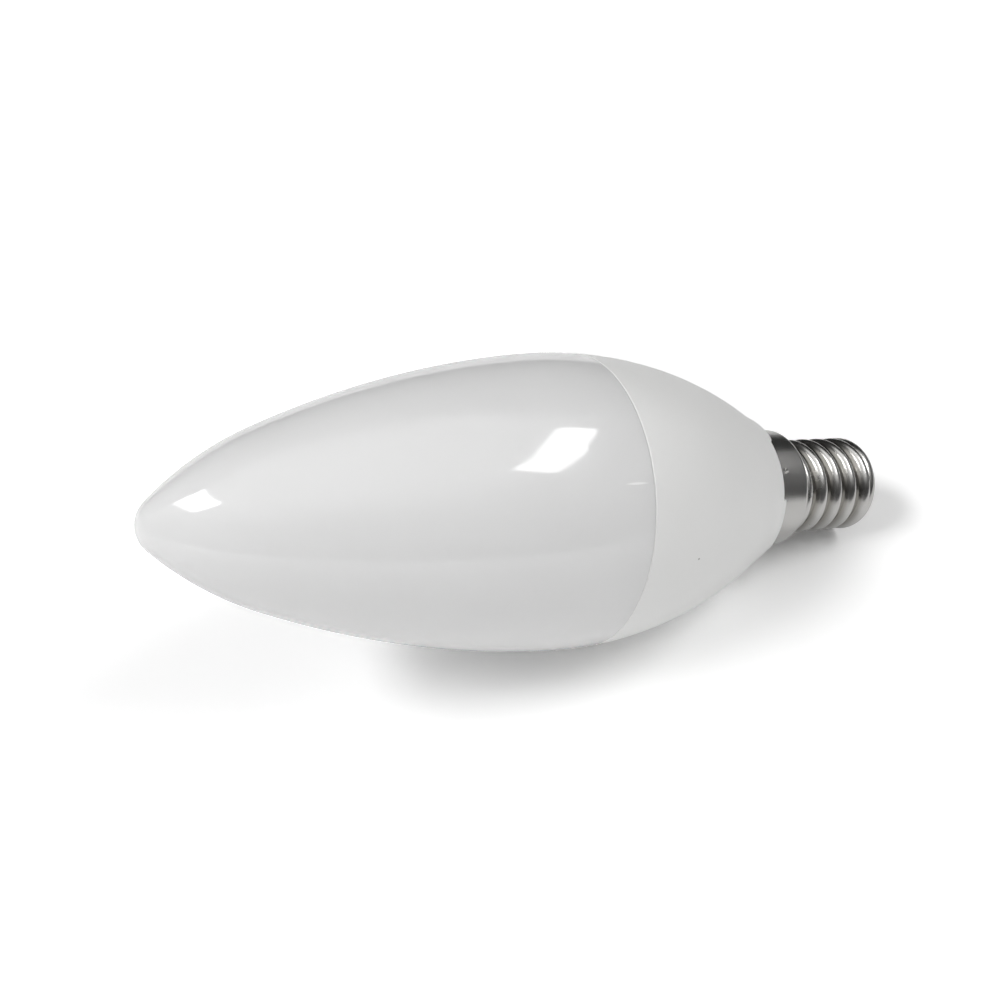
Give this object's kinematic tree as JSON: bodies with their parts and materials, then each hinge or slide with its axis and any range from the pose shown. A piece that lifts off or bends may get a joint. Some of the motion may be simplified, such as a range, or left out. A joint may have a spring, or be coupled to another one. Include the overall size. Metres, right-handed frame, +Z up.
{
  "type": "candle bulb",
  "caption": "Opal LED candle bulb with a white housing and a small Edison screw cap, lying on its side.",
  "frame": {"origin": "centre of the bounding box on the floor that the bulb lies on", "axes": "+Z up; the bulb lies on its housing and the end of its cap, with the cap towards +X and the tip towards -X; the bulb's own axis is in the XZ plane and falls towards the cap by 15.9 degrees"},
  "size_m": [0.1018, 0.038, 0.0418],
  "materials": {
    "opal_diffuser": "gloss",
    "white_housing": "satin",
    "nickel_plated_brass": "polished",
    "black_insulator": "gloss",
    "contact_metal": "satin"
  },
  "bodies": {
    "root": {"diffuser": "opal_diffuser", "housing": "white_housing", "screw_shell": "nickel_plated_brass", "insulator": "black_insulator", "centre_contact": "contact_metal"}
  },
  "joints": []
}
